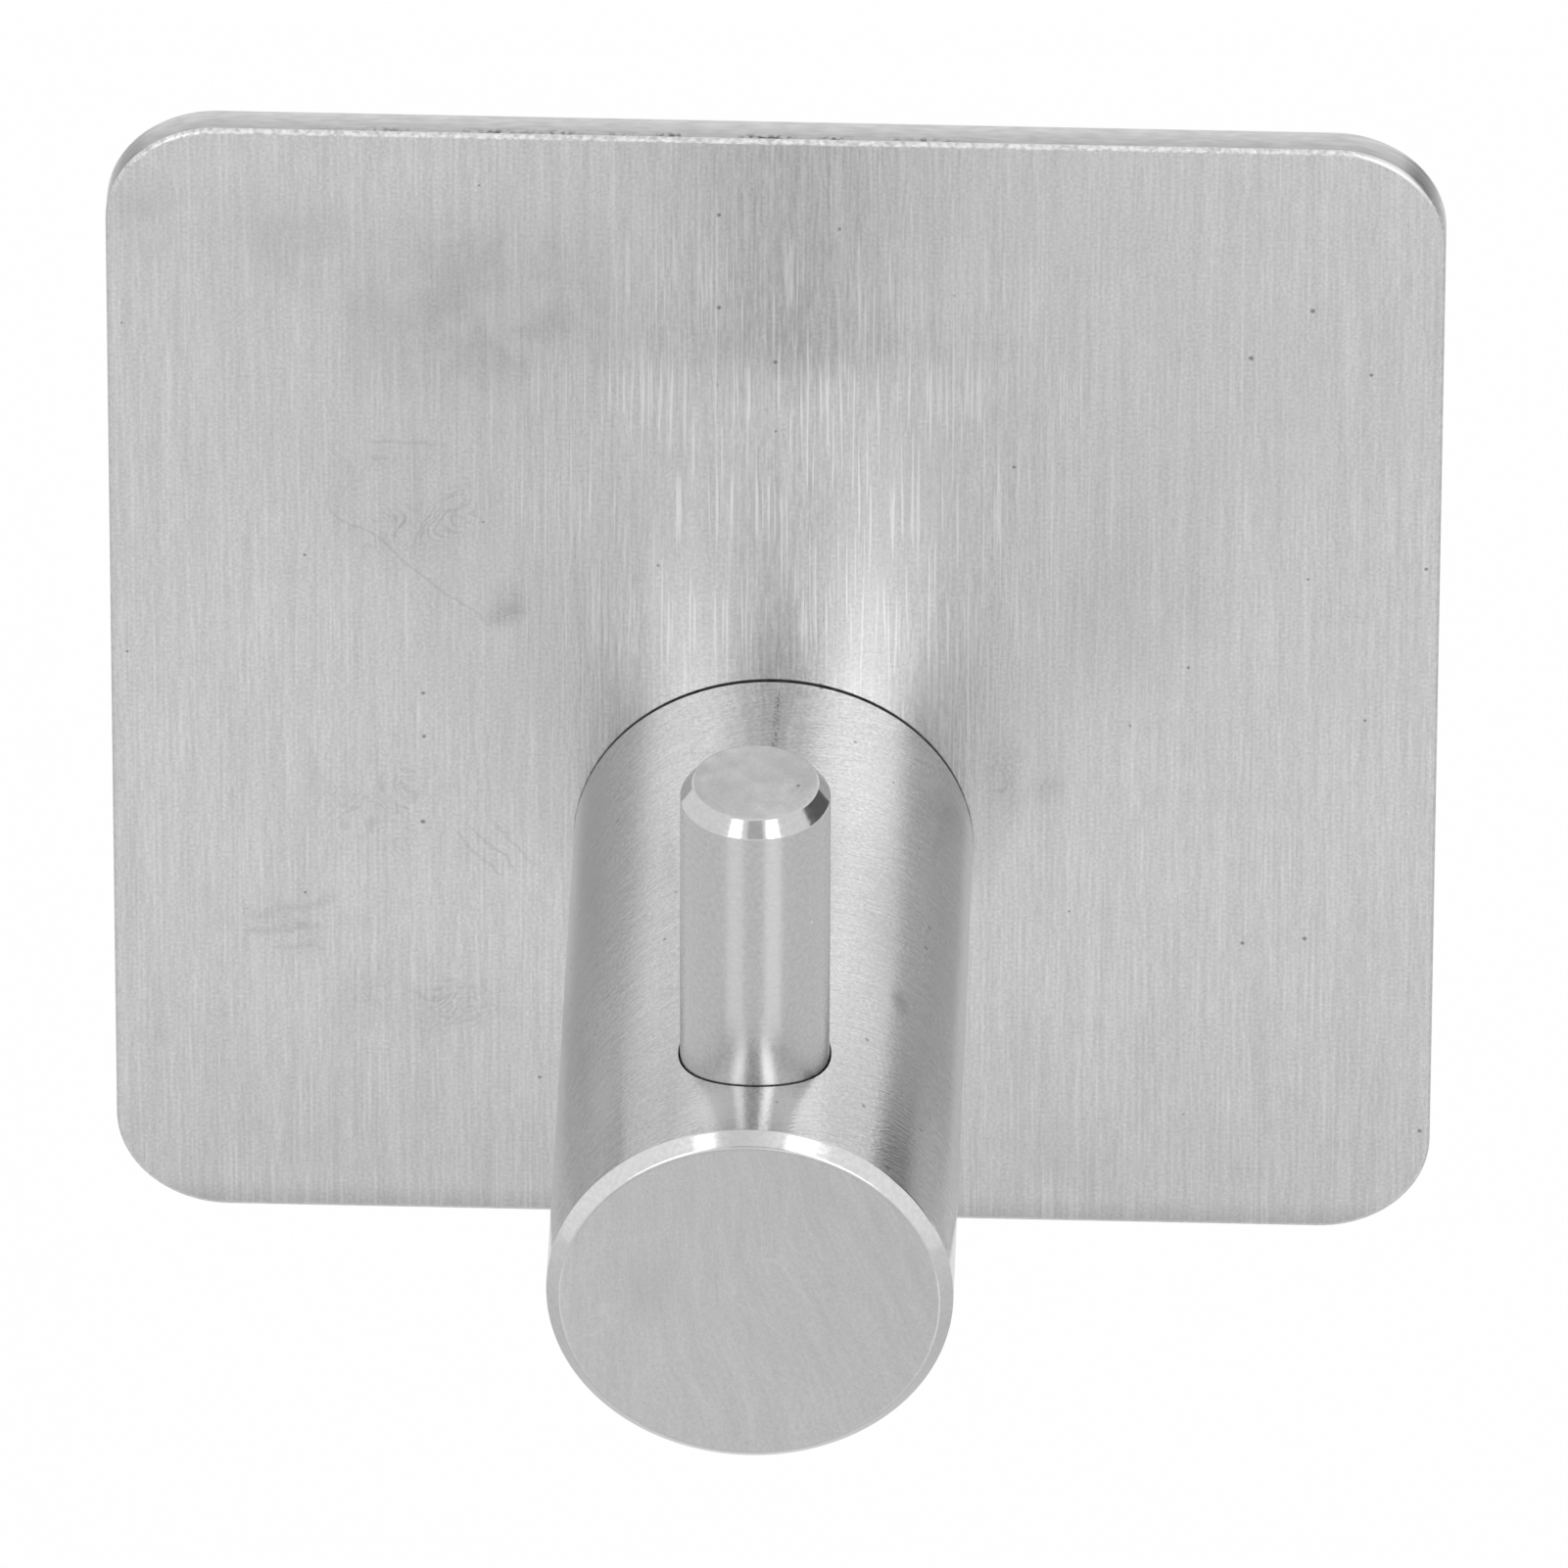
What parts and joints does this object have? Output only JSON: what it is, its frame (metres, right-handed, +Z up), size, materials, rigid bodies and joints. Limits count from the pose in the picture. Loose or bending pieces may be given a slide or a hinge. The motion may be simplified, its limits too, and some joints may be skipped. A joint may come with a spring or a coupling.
{
  "type": "adhesive wall hook",
  "caption": "Steel wall hook: a square plate with round corners and a foam adhesive back carries a round post, and an upright peg near its front end keeps a hanging loop on.",
  "frame": {"origin": "centre of the face that goes to the wall, behind the middle of the plate", "axes": "+Z up, +Y into the wall, the post stands out along -Y and the peg points up"},
  "size_m": [0.045, 0.0282, 0.045],
  "materials": {
    "plate_steel": "fine upright brushing, satin",
    "post_steel": "satin turned side, brushed front face, bright chamfer",
    "peg_steel": "satin ground side, turned top, bright chamfer",
    "screw_steel": "plain machine screw",
    "pad_foam": "fine closed-cell foam",
    "adhesive_film": "tacky clear film",
    "liner_paper": "smooth coated paper"
  },
  "bodies": {
    "hook": {"wall_side_adhesive": "adhesive_film", "foam_carrier": "pad_foam", "plate_side_adhesive": "adhesive_film", "backplate": "plate_steel", "fixing_screw": "screw_steel", "post": "post_steel", "peg": "peg_steel"},
    "liner": {"release_liner": "liner_paper"}
  },
  "joints": [
    {"name": "liner_peel", "type": "slide", "parent": "hook", "child": "liner", "axis": [0, 1, 0], "range_m": [0, 0.03]}
  ]
}
